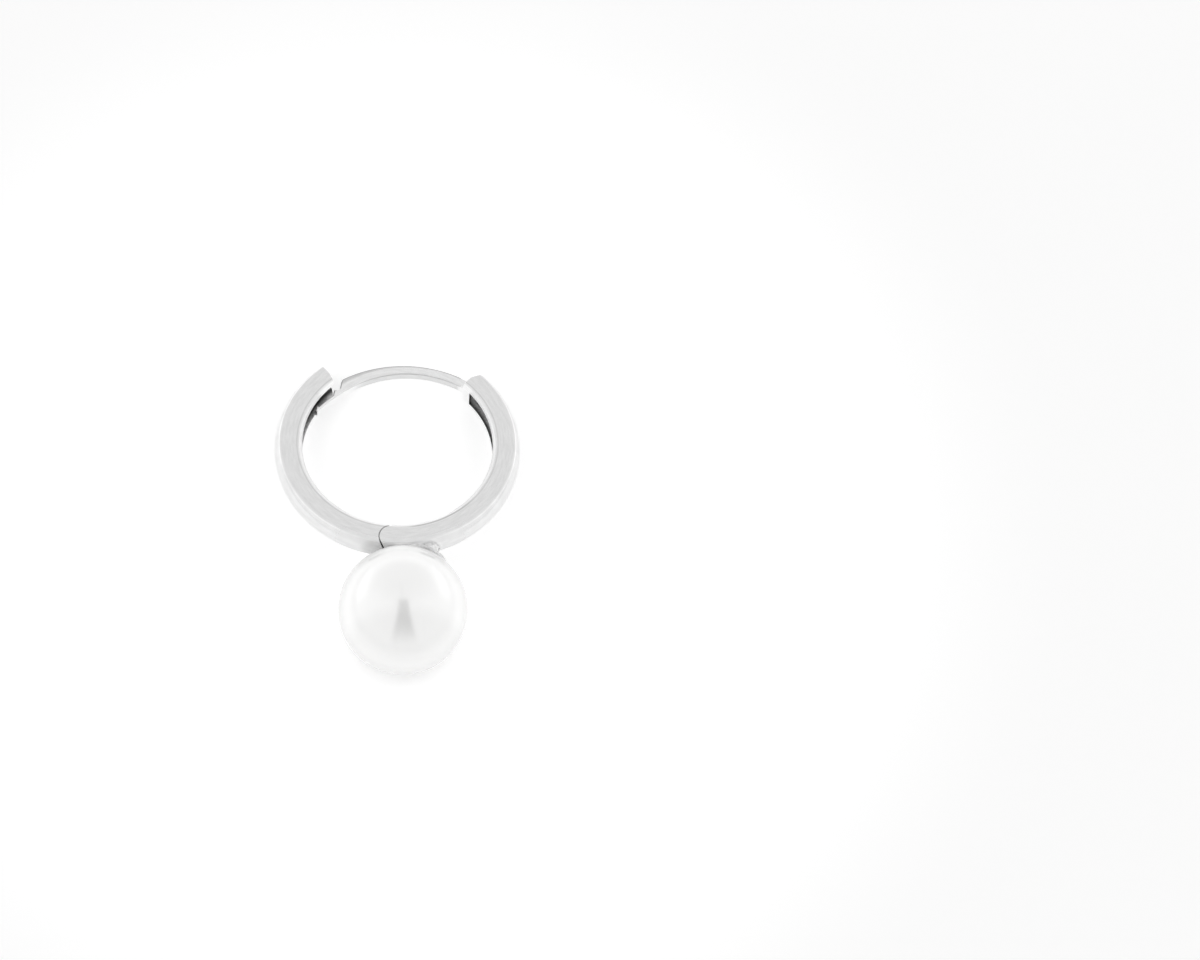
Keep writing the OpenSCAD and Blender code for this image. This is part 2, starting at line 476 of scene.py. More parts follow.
postDetail = {
    "width": 0.5,
    "top": 4.96,
    "thickness": 0.52,
    "outerX": 0.31,
    "outerRadius": 6.15,
    "innerX": 0.48,
    "innerRadius": 5.18,
    "rootDirection": 43,
    "shoulderX": -2.73,
    "shoulderRadius": 0.3,
    "wallLean": 12,
    "tongueStart": 122,
    "tongueInnerRadius": 8.7,
    "tongueThickness": 0.17,
    "tongueEnd": 150,
    "notchRound": 0.1,
    "notchFloorY": 3.547,  # the notch's floor stands a little higher than the tongue
    "notchFloorEnd": -3.1,
    "tongueRoot": -3.17,
    "barbHeight": 0.15,
    "barbBack": 1.9,  # degrees before the tip
    "barbRamp": 1.4,
    "edgeRound": 0.08,
    "stepDegrees": 2,
    "shoulderSteps": 8,
    "notchSteps": 5,
}


def angleAbout(centre, point):
    return math.degrees(math.atan2(point[1] - centre[1], point[0] - centre[0]))


def pointAbout(centre, radius, degrees):
    angle = math.radians(degrees)
    return Vector((centre[0] + radius * math.cos(angle), centre[1] + radius * math.sin(angle)))


def whereRayMeets(centre, radius, degrees):
    # where the ray from the hoop's centre in this direction leaves a circle
    ray, middle = pointAbout((0, 0), 1, degrees), Vector(centre)
    along = ray.dot(middle)
    return ray * (along + math.sqrt(radius ** 2 - middle.length_squared + along ** 2))


def innerBendCentre():
    sizes = postDetail
    return Vector((sizes["innerX"], sizes["top"] - sizes["thickness"] - sizes["innerRadius"]))


def makeEarPost():
    sizes = postDetail
    outerCentre = Vector((sizes["outerX"], sizes["top"] - sizes["outerRadius"]))
    innerCentre = innerBendCentre()
    tongueShift = sizes["innerRadius"] - sizes["tongueInnerRadius"]
    tongueCentre = pointAbout(innerCentre, tongueShift, sizes["tongueStart"])
    tongueOuter = sizes["tongueInnerRadius"] + sizes["tongueThickness"]
    rootOut = whereRayMeets(outerCentre, sizes["outerRadius"], sizes["rootDirection"])
    rootIn = whereRayMeets(innerCentre, sizes["innerRadius"], sizes["rootDirection"])

    cornerX = sizes["shoulderX"] + sizes["shoulderRadius"]
    cornerReach = sizes["outerRadius"] - sizes["shoulderRadius"]
    cornerRun = cornerX - outerCentre.x
    cornerY = outerCentre.y + math.sqrt(cornerReach ** 2 - cornerRun ** 2)
    cornerAngle = angleAbout(outerCentre, (cornerX, cornerY))

    # the shoulder's wall leans towards the tongue, and a round joins it to the notch's floor
    lean = math.radians(sizes["wallLean"])
    wallTop = pointAbout((cornerX, cornerY), sizes["shoulderRadius"], 180 - sizes["wallLean"])
    middleY = sizes["notchFloorY"] + sizes["notchRound"]
    wallFall = wallTop.y + sizes["notchRound"] * math.sin(lean) - middleY
    wallFoot = wallTop + Vector((-math.tan(lean), -1)) * wallFall
    notchMiddle = (wallFoot.x - sizes["notchRound"] * math.cos(lean), middleY)
    rootX = sizes["tongueRoot"]
    rootY = tongueCentre.y + math.sqrt(tongueOuter ** 2 - (rootX - tongueCentre.x) ** 2)
    tongueRoot = angleAbout(tongueCentre, (rootX, rootY))

    tip = pointAbout((0, 0), hoop["innerRadius"], sizes["tongueEnd"])
    tipAngle = angleAbout(tongueCentre, tip)
    barbFoot = tipAngle - sizes["barbBack"]
    barbTop = pointAbout(tongueCentre, tongueOuter + sizes["barbHeight"], barbFoot)
    barbEnd = pointAbout(tongueCentre, tongueOuter, barbFoot + sizes["barbRamp"])

    def arc(centre, fromAngle, toAngle):
        sweep = toAngle - fromAngle
        return ("arc", tuple(centre), sweep, max(2, round(abs(sweep) / sizes["stepDegrees"])))

    post = drawOutline("ear_post", tuple(rootIn), [
        ("line", tuple(rootOut)),
        arc(outerCentre, angleAbout(outerCentre, rootOut), cornerAngle),
        ("arc", (cornerX, cornerY), 180 - sizes["wallLean"] - cornerAngle, sizes["shoulderSteps"]),
        ("line", tuple(wallFoot)),
        ("arc", notchMiddle, sizes["wallLean"] - 90, sizes["notchSteps"]),
        ("line", (sizes["notchFloorEnd"], sizes["notchFloorY"])),
        ("line", (rootX, rootY)),
        arc(tongueCentre, tongueRoot, barbFoot),
        ("line", tuple(barbTop)),
        ("line", tuple(barbEnd)),
        ("line", tuple(pointAbout(tongueCentre, tongueOuter, tipAngle))),
        ("line", tuple(pointAbout(tongueCentre, sizes["tongueInnerRadius"], tipAngle))),
        arc(tongueCentre, tipAngle, sizes["tongueStart"]),
        arc(innerCentre, sizes["tongueStart"], angleAbout(innerCentre, rootIn)),
    ])
    raiseOutline(post, -sizes["width"] / 2, sizes["width"] / 2)
    editPiece(post)
    pick("EDGE", rimOf(lambda face: abs(face.normal.z) > flatFrom))
    bpy.ops.mesh.bevel(offset=sizes["edgeRound"], segments=4, profile=0.5, affect="EDGES")
    return finishMesh(post)


# Cup, peg and stem that carry the pearl, turned about the peg's axis

pearlDetail = {
    "radius": 3.225,
    "drop": 9.5,
    "lean": 21.5,  # degrees from the hoop's middle line, away from the hinge
    "glueGap": 0.03,
    "drillRadius": 0.38,
    "drillDepth": 2.23,
    "drillChamfer": 0.04,
}

cupDetail = {
    "rimRadius": 1.05,
    "thickness": 0.24,
    "pegRadius": 0.35,
    "pegDepth": 2.2,
    "pegChamfer": 0.05,
    "stemRadius": 0.5,
    "stemTop": 3.98,
    "stemFillet": 0.15,
    "insideSteps": 10,
    "rimSteps": 8,
    "outsideSteps": 12,
    "filletSteps": 5,
    "turnSteps": 96,
}

# Hard solder between stem and band, as it froze
solderDetail = {
    "place": (1.38, -6.06, 0),
    "size": (0.6, 0.2, 0.52),
    "turn": 13,
    "unevenness": 0.03,
    "seed": 7,
    "pit": (1.89, -6.03, 0.12),
    "pitRadius": 0.08,
}


def atPearl():
    # turns what stands on the pearl's centre with its peg along Z into its place on the hoop
    lean = math.radians(pearlDetail["lean"])
    peg = Vector((math.sin(lean), math.cos(lean), 0))
    turn = alongZ.rotation_difference(peg).to_matrix().to_4x4()
    return Matrix.Translation((0, -pearlDetail["drop"], 0)) @ turn


def putInPlace(piece, place):
    takeUp(piece)
    piece.matrix_world = place
    bpy.ops.object.transform_apply(location=True, rotation=True, scale=True)
    return piece


def makeCup():
    sizes = cupDetail
    inside = pearlDetail["radius"] + pearlDetail["glueGap"]
    middle, outside = inside + sizes["thickness"] / 2, inside + sizes["thickness"]
    rimAngle = 90 - math.degrees(math.asin(sizes["rimRadius"] / middle))
    pegFoot = pearlDetail["radius"] - sizes["pegDepth"]
    pegTopAngle = 90 - math.degrees(math.asin(sizes["pegRadius"] / inside))
    pegTop = pointAbout((0, 0), inside, pegTopAngle)
    rimMiddle = pointAbout((0, 0), middle, rimAngle)
    filletX = sizes["stemRadius"] + sizes["stemFillet"]
    filletReach = outside + sizes["stemFillet"]
    filletY = math.sqrt(filletReach ** 2 - filletX ** 2)
    filletAngle = angleAbout((0, 0), (filletX, filletY))
    cup = drawOutline("pearl_cup", (0, pegFoot), [
        ("line", (sizes["pegRadius"] - sizes["pegChamfer"], pegFoot)),
        ("line", (sizes["pegRadius"], pegFoot + sizes["pegChamfer"])),
        ("line", tuple(pegTop)),
        ("arc", (0, 0), rimAngle - pegTopAngle, sizes["insideSteps"]),
        ("arc", tuple(rimMiddle), 180, sizes["rimSteps"]),
        ("arc", (0, 0), filletAngle - rimAngle, sizes["outsideSteps"]),
        ("arc", (filletX, filletY), 180 - (filletAngle + 180) % 360, sizes["filletSteps"]),
        ("line", (sizes["stemRadius"], sizes["stemTop"])),
        ("line", (0, sizes["stemTop"])),
    ], alongX, alongZ)
    bpy.ops.mesh.select_mode(type="FACE")
    bpy.ops.mesh.select_all(action="SELECT")
    bpy.ops.mesh.delete(type="ONLY_FACE")
    pick("EDGE", lambda edge: any(abs(vertex.co.x) > nearEnough for vertex in edge.verts))
    bpy.ops.mesh.spin(steps=sizes["turnSteps"], angle=2 * math.pi, center=(0, 0, 0), axis=alongZ)
    bpy.ops.mesh.select_all(action="SELECT")
    bpy.ops.mesh.remove_doubles(threshold=nearEnough / 2)
    bpy.ops.mesh.delete_loose()
    finishMesh(cup)
    return putInPlace(cup, atPearl())


def makeSolder():
    sizes = solderDetail
    deselectAll()
    bpy.ops.mesh.primitive_ico_sphere_add(subdivisions=5, radius=1)
    solder = bpy.context.object
    solder.name = "solder"
    bpy.ops.object.mode_set(mode="EDIT")
    bpy.ops.mesh.select_all(action="SELECT")
    bpy.ops.transform.resize(value=sizes["size"], center_override=(0, 0, 0))
    bpy.ops.transform.vertex_random(offset=sizes["unevenness"], seed=sizes["seed"])
    bpy.ops.mesh.vertices_smooth(factor=0.5, repeat=4)
    finishMesh(solder)
    place = Matrix.Translation(sizes["place"]) @ Matrix.Rotation(math.radians(sizes["turn"]), 4, "Z")
    return putInPlace(solder, place)


def makePit():
    # a pinhole that the solder left
    deselectAll()
    bpy.ops.mesh.primitive_ico_sphere_add(
        subdivisions=3, radius=solderDetail["pitRadius"], location=solderDetail["pit"]
    )
    bpy.context.object.name = "pit"
    bpy.ops.object.transform_apply(location=True)
    return bpy.context.object


def makePearl():
    sizes = pearlDetail
    deselectAll()
    bpy.ops.mesh.primitive_uv_sphere_add(segments=128, ring_count=64, radius=sizes["radius"])
    pearl = bpy.context.object
    pearl.name = "round_pearl"
    bpy.ops.object.mode_set(mode="EDIT")

    def overDrill(face):
        middle = face.calc_center_median()
        return middle.z > 0 and middle.xy.length < sizes["drillRadius"]

    pick("FACE", overDrill)
    bpy.ops.mesh.delete(type="FACE")
    pick("EDGE", lambda edge: edge.is_boundary)
    mesh = bmesh.from_edit_mesh(pearl.data)
    onMouth = next(vertex.co.copy() for vertex in mesh.verts if vertex.select)
    chamferRadius = sizes["drillRadius"] + sizes["drillChamfer"]
    fit, narrow = chamferRadius / onMouth.xy.length, sizes["drillRadius"] / chamferRadius
    bpy.ops.transform.resize(value=(fit, fit, 1), center_override=(0, 0, onMouth.z))
    bpy.ops.mesh.extrude_region_move(TRANSFORM_OT_translate={"value": (0, 0, -sizes["drillChamfer"])})
    bpy.ops.transform.resize(value=(narrow, narrow, 1), center_override=(0, 0, 0))
    bpy.ops.mesh.extrude_region_move(
        TRANSFORM_OT_translate={"value": (0, 0, sizes["drillChamfer"] - sizes["drillDepth"])}
    )
    bpy.ops.mesh.edge_face_add()
    finishMesh(pearl)
    return putInPlace(pearl, atPearl())


# Assembly

polishDetail = {
    "edgeWidth": 0.03,
    "sharpFrom": 42,  # degrees between two faces, from which their edge is rounded
    "smoothBelow": 30,
}


def layDown(piece):
    # from flat millimetres to its place in the frame, in metres
    place = Matrix.Translation(hoopCentre) @ layTurn.to_4x4() @ Matrix.Scale(millimetre, 4)
    putInPlace(piece, place)


def smoothFaces(piece):
    takeUp(piece)
    bpy.ops.object.shade_smooth_by_angle(angle=math.radians(polishDetail["smoothBelow"]))


def polishEdges(piece):
    applyModifier(
        piece, "BEVEL", width=polishDetail["edgeWidth"], segments=2, limit_method="ANGLE",
        angle_limit=math.radians(polishDetail["sharpFrom"]), harden_normals=False,
        miter_outer="MITER_ARC",
    )
    smoothFaces(piece)
    applyModifier(piece, "WEIGHTED_NORMAL", keep_sharp=True, weight=50)


armDetail = {
    "postEnd": 45,
    "endPlate": 5.97,  # degrees of solid metal behind the post half's end
    "postChannelStart": -80,
    "catchEnd": 129,
    "catchChannelEnd": 253,
    "endRound": (0.28, 0.1),  # on the lower and on the upper side
    "leadIn": (0.4, 0.68, 0.9),  # radius inside, radius at the end, length of the tongue's way in
    "leadInReach": 4.75,
    "leadInAhead": 0.2,
    "spare": 2,  # degrees of band drawn past each end, for the rounding to cut back
    # arcs of the rounded ends: middle (outward, beyond the end), radius, from and to angle
    "postEndArcs": ((5.25, -0.88, 0.96, 132, 0),),
    "catchEndArcs": ((5.65, -1.435, 1.6, 131, 80.72), (5.85, -0.211, 0.36, 80.72, 0)),
    "arcSteps": 16,
    "plateReach": 8,
}


def makePostHalf():
    arm, hinge = armDetail, hingeDetail
    openTo = arm["postEnd"] - arm["endPlate"]
    solidBefore = arm["postChannelStart"] + 360 - hoopBottom + hinge["reach"]
    solidAfter = arm["endPlate"] + arm["spare"]
    half = makeBand("post_half_metal", arm["postChannelStart"], openTo, solidBefore, solidAfter)
    paintChannel(half)
    roundArmEnd(half, arm["postEnd"], arm["postEnd"] + 90, arm["postEndArcs"])
    edgeX = hoop["hingeX"]
    cutter = hingeCutter("post_side_cut", hinge["cheekRadius"], edgeX, edgeX - hinge["cutLength"])
    combine(half, cutter, "DIFFERENCE")
    combine(half, makeEarPost(), "UNION")
    combine(half, makeCup(), "UNION")
    combine(half, makeSolder(), "UNION")
    combine(half, makePit(), "DIFFERENCE")
    combine(half, hingeRod("slot", hinge["slotRadius"], hinge["slotWidth"]), "DIFFERENCE")
    combine(half, hingeRod("bore", hinge["pinBore"], hinge["pinBoreLength"]), "DIFFERENCE")
    polishEdges(half)
    layDown(half)
    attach(half, "post_half")
    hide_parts("post_half")


def makeLeadIn():
    # a shallow cone, cut where the tongue slips into the channel
    arm = armDetail
    inside, outside, length = arm["leadIn"]
    deselectAll()
    bpy.ops.mesh.primitive_cone_add(vertices=64, radius1=inside, radius2=outside, depth=length)
    cone = bpy.context.object
    cone.name = "lead_in"
    giveMetals(cone)
    bpy.ops.mesh.select_all(action="SELECT")
    bpy.ops.object.material_slot_assign()
    bpy.ops.object.mode_set(mode="OBJECT")
    ahead = onHoop(1, arm["catchEnd"] - 90)
    middle = onHoop(arm["leadInReach"], arm["catchEnd"]) - ahead * (length / 2 - arm["leadInAhead"])
    turn = alongZ.rotation_difference(ahead).to_matrix().to_4x4()
    return putInPlace(cone, Matrix.Translation(middle) @ turn)


def makeCatchHalf():
    arm, hinge = armDetail, hingeDetail
    solidAfter = hoopBottom - arm["catchChannelEnd"]
    openFrom = arm["catchEnd"] - arm["spare"]
    half = makeBand("catch_half_metal", openFrom, arm["catchChannelEnd"], 0, solidAfter)
    paintChannel(half)
    roundArmEnd(half, arm["catchEnd"], arm["catchEnd"] - 90, arm["catchEndArcs"])
    combine(half, makeLeadIn(), "DIFFERENCE")
    edgeX = hoop["hingeX"] - hinge["lipGap"]
    reach = hinge["cheekRadius"] + hinge["gap"]
    cutter = hingeCutter("catch_side_cut", reach, edgeX, edgeX + hinge["cutLength"], hinge["gapDrop"])
    combine(half, cutter, "DIFFERENCE")
    combine(half, makeKnuckle(), "UNION")
    polishEdges(half)
    layDown(half)
    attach(half, "catch_half")
    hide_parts("catch_half")


def dressPearl():
    pearl = makePearl()
    pearl.data.materials.append(pearlNacre)
    smoothFaces(pearl)
    layDown(pearl)
    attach(pearl, "post_half")
    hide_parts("pearl")


def dressHingePin():
    # the frame's own pin stays, in the same metal
    materials = frame["nodes"]["hinge_pin"].data.materials
    materials.clear()
    materials.append(polishedMetal)


# Materials

def newMaterial(name, **inputs):
    material = bpy.data.materials.new(name)
    material.use_nodes = True
    shader = material.node_tree.nodes["Principled BSDF"]
    for socket, value in inputs.items():
        shader.inputs[socket.replace("_", " ")].default_value = value
    return material


class NodeDesk:
    # adds nodes to one node tree and wires them up
    def __init__(self, tree):
        self.tree = tree

    def put(self, value, socket):
        if isinstance(value, bpy.types.NodeSocket):
            self.tree.links.new(value, socket)
        else:
            socket.default_value = value

    def add(self, kind, result, inputs, **settings):
        node = self.tree.nodes.new("ShaderNode" + kind)
        for key, value in settings.items():
            setattr(node, key, value)
        for key, value in inputs.items():
            self.put(value, node.inputs[key])
        return node.outputs[result]

    def math(self, operation, first, *others):
        # more than two values are taken in one after the other
        if not others:
            return self.add("Math", 0, {0: first}, operation=operation)
        for other in others:
            first = self.add("Math", 0, {0: first, 1: other}, operation=operation)
        return first

    def vector(self, operation, first, second=(0, 0, 0), result="Vector"):
        return self.add("VectorMath", result, {0: first, 1: second}, operation=operation)

    def ramp(self, value, low, high, toLow=0.0, toHigh=1.0, kind="SMOOTHSTEP"):
        return self.add("MapRange", "Result", {
            "Value": value, "From Min": low, "From Max": high, "To Min": toLow, "To Max": toHigh,
        }, interpolation_type=kind)

    def blend(self, mask, low, high):
        return self.ramp(mask, 0.0, 1.0, low, high, "LINEAR")

    def shade(self, tone, mask, amount):
        # multiplies the tone by the amount where the mask is 1
        return self.math("MULTIPLY", tone, self.blend(mask, 1.0, amount))

    def masks(self, measures, table):
        # one mask for each name, the product of the ramps in its rows
        made = {}
        for name, rows in table.items():
            ramps = [self.ramp(measures[measure], none, full) for measure, none, full in rows]
            made[name] = self.math("MULTIPLY", *ramps) if len(ramps) > 1 else ramps[0]
        return made

    def noise(self, vector, scale, detail=3.0, roughness=0.55):
        return self.add("TexNoise", "Fac", {
            "Vector": vector, "Scale": scale, "Detail": detail, "Roughness": roughness,
        })

    def split(self, vector):
        node = self.tree.nodes.new("ShaderNodeSeparateXYZ")
        self.put(vector, node.inputs[0])
        return node.outputs[0], node.outputs[1], node.outputs[2]

    def fromAxis(self, place, x, y):
        # distance in the plane of the hoop
        flat = self.vector("MULTIPLY", place, (1, 1, 0))
        return self.vector("DISTANCE", flat, (x, y, 0), "Value")

    def grey(self, value):
        return self.add("CombineColor", "Color", {"Red": value, "Green": value, "Blue": value})

    def onHoop(self):
        # millimetres in the flat hoop's own frame, from the object's coordinates
        back = layTurn.inverted()
        return self.add("Mapping", "Vector", {
            "Vector": self.add("TexCoord", "Object", {}),
            "Location": -(back @ hoopCentre) / millimetre,
            "Rotation": back.to_euler(),
            "Scale": (1 / millimetre, 1 / millimetre, 1 / millimetre),
        })


metalLook = {
    "colour": (0.86, 0.935),  # across the drawing marks
    "rollShade": 0.9,  # painted shade along the rolled inner edges, but not over the hinge
    "rollLineShade": (0.87, 0.72),  # a painted dark line beside the roll, and darker still at its lower right
    "flatShade": 0.93,  # painted shade on the flat sides
    "domeShade": (0.87, 0.7, 1.12),  # painted shade on the dome at the sides, and left of the seam beside the pearl, and painted light right of it at the pearl
    "postEdgeShade": (0.95, 0.6),  # painted shade on the lower and upper edge of the ear post
    "postTopShade": 0.72,  # a painted dark line along the top of its front
    # painted shade on the ear post's inner face
    "postInsideShade": 0.76,
    # painted shade beside the hinge's seam
    "seamShade": 0.7,
    # painted shade on the solder and the cup
    "solderShade": 0.78,
    "blotchShade": (0.82, 1.12),  # uneven shade of the solder and the cup
    "blotchScale": 5.0,
    "roughness": (0.05, 0.11),
    "dullRoughness": 0.3,  # more roughness where the pearl was set and the edges were rubbed
    "dullEdge": 1.5,  # times as much of it on the ear post's edges
    "speckScale": 3.0,
    "streakScale": 7.0,
    "streakRise": 0.8,  # how much the marks change with height, against their change with radius
    "streakBump": 0.0000022,
    "scratchScale": 60.0,
    "scratchBump": 0.00000012,
}

# Where the painted shades and the rougher spots lie on the flat hoop. A row names a measure, where its
# ramp is 0 and where it is 1
metalMasks = {
    "roll": (
        ("radius", 5.1, 4.9), ("offMiddle", 0.45, 0.5), ("headY", -0.97, -0.75), ("headY", 0.64, 0.6),
    ),
    "rollLine": (
        ("radius", 5.01, 5.05), ("radius", 5.12, 5.08), ("offMiddle", 0.55, 0.62),
        ("headY", -1.0, -0.985),
    ),
    "lowerRight": (("headY", -0.6, -0.85), ("headX", 0.03, 0.12)),
    "flat": (("offMiddle", 0.66, 0.69), ("radius", 5.0, 5.1)),
    "dome": (("radius", 5.9, 6.02), ("offMiddle", 0.7, 0.6)),
    "pearlSide": (("fromPearl", 4.3, 3.9),),
    "rightOfSeam": (("x", -0.6, 0.0),),
    "seam": (
        ("fromHinge", 0.6, 0.63), ("fromHinge", 0.7, 0.67), ("x", hoop["hingeX"], hoop["hingeX"] - 0.05),
    ),
    "solder": (("fromSolder", 0.7, 0.55),),
    "cup": (("fromPearl", 3.57, 3.52),),
    "betweenEnds": (("x", -2.97, -2.9), ("x", 3.38, 3.3)),
    "tongue": (("radius", 4.78, 4.76),),
    "aboveTip": (("y", 1.9, 2.1),),
    "postEdge": (("offMiddle", 0.168, 0.185), ("offMiddle", 0.2495, 0.244)),
    "postUpper": (("fromBend", 5.4, 5.5),),
    "postTop": (("fromBend", 5.52, 5.68), ("y", 2.6, 3.0), ("offMiddle", 0.26, 0.255)),
    "postInside": (
        ("fromBend", 5.3, 5.22), ("offMiddle", 0.25, 0.2), ("y", 1.9, 2.1), ("x", -2.4, -1.4),
        ("x", 3.3, 3.1),
    ),
    "rubbed": (("headY", -0.76, -0.92), ("radius", 5.68, 5.78)),
}

castLook = {
    "colour": (0.07, 0.9),  # painted shade on the left of each mouth, painted light on the right
    "turn": (-0.12, 0.11),  # from the one to the other, sideways from the radius below
    "turnRadius": 4.96,
    "deepColour": 0.4,
    "deepRadius": (5.15, 5.4),
    "roughness": 0.5,
    "grainShade": (0.8, 1.2),
    "grainScale": 9.0,
    "grainBump": 0.00001,
}

nacreLook = {
    "colour": (0.98, 0.978, 0.972),
    "footShadeColour": (0.89, 0.888, 0.882),  # painted shade on the cap away from the hoop
    "footY": (-10.7, -11.6),
    # painted shade at the pearl's rim, where it turns away from the camera
    "rimShade": 0.77,
    "rimFacing": (0.45, 0.85),
    "roughness": 0.28,
    "coatRoughness": 0.13,
    "coatIndex": 2.85,
    "growthScale": 0.6,
    "growthBump": 0.000004,
}

# The part of a noise's range that a shade or a roughness is spread over
noiseSpread = {
    "streaks": (0.25, 0.75),
    "specks": (0.3, 0.75),
    "blotches": (0.3, 0.7),
    "grain": (0.3, 0.7),
}


def measureHoop(desk, place):
    # what the masks go by, and a place that runs long in the band's direction and short across it
    flat = desk.vector("MULTIPLY", place, (1, 1, 0))
    x, y, height = desk.split(place)
    radius = desk.vector("LENGTH", flat, result="Value")
    headX, headY = desk.split(desk.vector("NORMALIZE", flat))[:2]
    across = desk.math("ADD", radius, desk.math("MULTIPLY", height, metalLook["streakRise"]))
    flow = desk.add("CombineXYZ", "Vector", {"X": headX, "Y": headY, "Z": across})
    offMiddle = desk.math("ABSOLUTE", height)
    measures = {"x": x, "y": y, "radius": radius, "headX": headX, "headY": headY, "offMiddle": offMiddle}
    return measures, flow


def makeMetalMasks(desk, place, measures):
    measures["fromPearl"] = desk.vector("DISTANCE", place, (0, -pearlDetail["drop"], 0), "Value")
    measures["fromSolder"] = desk.vector("DISTANCE", place, solderDetail["place"], "Value")
    measures["fromHinge"] = desk.fromAxis(place, hoop["hingeX"], hoop["hingeY"])
    measures["fromBend"] = desk.fromAxis(place, *innerBendCentre())
    on = desk.masks(measures, metalMasks)
    onPost = desk.math("MAXIMUM", on["betweenEnds"], on["tongue"])
    on["postEdge"] = desk.math("MULTIPLY", on["postEdge"], desk.math("MULTIPLY", onPost, on["aboveTip"]))
    on["postTop"] = desk.math("MULTIPLY", on["postTop"], on["betweenEnds"])
    on["joined"] = desk.math("MAXIMUM", on["solder"], on["cup"])
    return on


def makePolishedMetal():
    look = metalLook
    material = newMaterial("polished_white_metal", Metallic=1.0)
    shader = material.node_tree.nodes["Principled BSDF"]
    desk = NodeDesk(material.node_tree)
    place = desk.onHoop()
    measures, flow = measureHoop(desk, place)
    on = makeMetalMasks(desk, place, measures)
    streaks = desk.noise(flow, look["streakScale"], detail=3.0)
    scratches = desk.noise(flow, look["scratchScale"], detail=5.0, roughness=0.7)
    specks = desk.noise(place, look["speckScale"], detail=4.0)
    blotches = desk.noise(place, look["blotchScale"], detail=4.0, roughness=0.7)

    # the dome gets painted shade beside the pearl left of the seam, and painted light right of it
    domeSides, domeLeft, domeRight = look["domeShade"]
    domeBottom = desk.blend(on["rightOfSeam"], domeLeft, domeRight)
    blotchShade = desk.ramp(blotches, *noiseSpread["blotches"], *look["blotchShade"])
    # painted shade on the metal's tone, and painted light where an amount is above 1
    shades = {
        "roll": look["rollShade"],
        "rollLine": desk.blend(on["lowerRight"], *look["rollLineShade"]),
        "flat": look["flatShade"],
        "dome": desk.blend(on["pearlSide"], domeSides, domeBottom),
        "postEdge": desk.blend(on["postUpper"], *look["postEdgeShade"]),
        "postTop": look["postTopShade"],
        "postInside": look["postInsideShade"],
        "joined": desk.math("MULTIPLY", blotchShade, look["solderShade"]),
        "seam": look["seamShade"],
    }
    tone = desk.ramp(streaks, *noiseSpread["streaks"], *look["colour"])
    for name, amount in shades.items():
        tone = desk.shade(tone, on[name], amount)
    desk.put(desk.grey(tone), shader.inputs["Base Color"])

    polish = desk.ramp(specks, *noiseSpread["specks"], *look["roughness"])
    dullEdge = desk.math("MULTIPLY", on["postEdge"], look["dullEdge"])
    dull = desk.math("MAXIMUM", on["rubbed"], dullEdge, on["roll"], on["joined"])
    polish = desk.math("ADD", polish, desk.math("MULTIPLY", dull, look["dullRoughness"]))
    desk.put(polish, shader.inputs["Roughness"])

    waves = desk.add("Bump", "Normal", {"Height": streaks, "Distance": look["streakBump"]})
    fine = desk.add(
        "Bump", "Normal", {"Height": scratches, "Distance": look["scratchBump"], "Normal": waves}
    )
    desk.put(fine, shader.inputs["Normal"])
    return material


def makeCastMetal():
    look = castLook
    material = newMaterial("cast_metal_with_painted_shade", Metallic=1.0, Roughness=look["roughness"])
    shader = material.node_tree.nodes["Principled BSDF"]
    desk = NodeDesk(material.node_tree)
    place = desk.onHoop()
    grain = desk.noise(place, look["grainScale"], detail=4.0, roughness=0.65)
    measures = measureHoop(desk, place)[0]
    # painted shade and painted light across the channel's walls
    inward = desk.math("SUBTRACT", measures["radius"], look["turnRadius"])
    mouth = desk.ramp(desk.math("MULTIPLY", measures["headX"], inward), *look["turn"], *look["colour"])
    deep = desk.ramp(measures["radius"], *look["deepRadius"])
    tone = desk.blend(deep, mouth, look["deepColour"])
    grainShade = desk.ramp(grain, *noiseSpread["grain"], *look["grainShade"])
    desk.put(desk.grey(desk.math("MULTIPLY", tone, grainShade)), shader.inputs["Base Color"])
    bumps = desk.add("Bump", "Normal", {"Height": grain, "Distance": look["grainBump"]})
    desk.put(bumps, shader.inputs["Normal"])
    return material


def makeNacre():
    look = nacreLook
    material = newMaterial(
        "pearl_nacre", Roughness=look["roughness"], Coat_Weight=1.0,
        Coat_Roughness=look["coatRoughness"], Coat_IOR=look["coatIndex"],
    )
    shader = material.node_tree.nodes["Principled BSDF"]
    desk = NodeDesk(material.node_tree)
    place = desk.onHoop()
    growth = desk.noise(place, look["growthScale"], detail=4.0, roughness=0.5)
    # painted shade towards the cap away from the hoop
    toFoot = desk.ramp(desk.split(place)[1], *look["footY"])
    tone = desk.add(
        "Mix", 2, {0: toFoot, 6: (*look["colour"], 1), 7: (*look["footShadeColour"], 1)}, data_type="RGBA"
    )
    # painted shade on the rim, from how much the surface faces the camera
    facing = desk.add("LayerWeight", "Facing", {"Blend": 0.5})
    rim = desk.ramp(facing, *look["rimFacing"], 1.0, look["rimShade"])
    desk.put(desk.vector("MULTIPLY", tone, rim), shader.inputs["Base Color"])
    bumps = desk.add("Bump", "Normal", {"Height": growth, "Distance": look["growthBump"]})
    desk.put(bumps, shader.inputs["Normal"])
    desk.put(bumps, shader.inputs["Coat Normal"])
    return material


# Floor and light

studio = {
    "greyToward": (0.016, 0.689, 0.724),  # what the hoop's flat side mirrors
    "greyLevel": 0.845,
    "whiteLevel": 1.06,
    "sideGlow": 0.3,
    "horizonGlow": 0.2,
    "gapDepth": (0.1, 0.8),  # at the horizon and overhead
    "gapWidth": (0.35, 0.15),  # half of it, at the horizon and overhead
    "slitDepth": 0.4,
    "slitX": -0.035,
    "floorSize": 4,
    "floorColour": 0.9,
    "floorGlow": (0.36, 0.3, 0.15),  # painted light: the floor glows most inside the hoop and close to the earring, over their shade, and less further out
    "floorGlowReach": (0.0042, 0.006, 0.012, 0.035),
    "footShadow": (0.001, 0.0038),
}

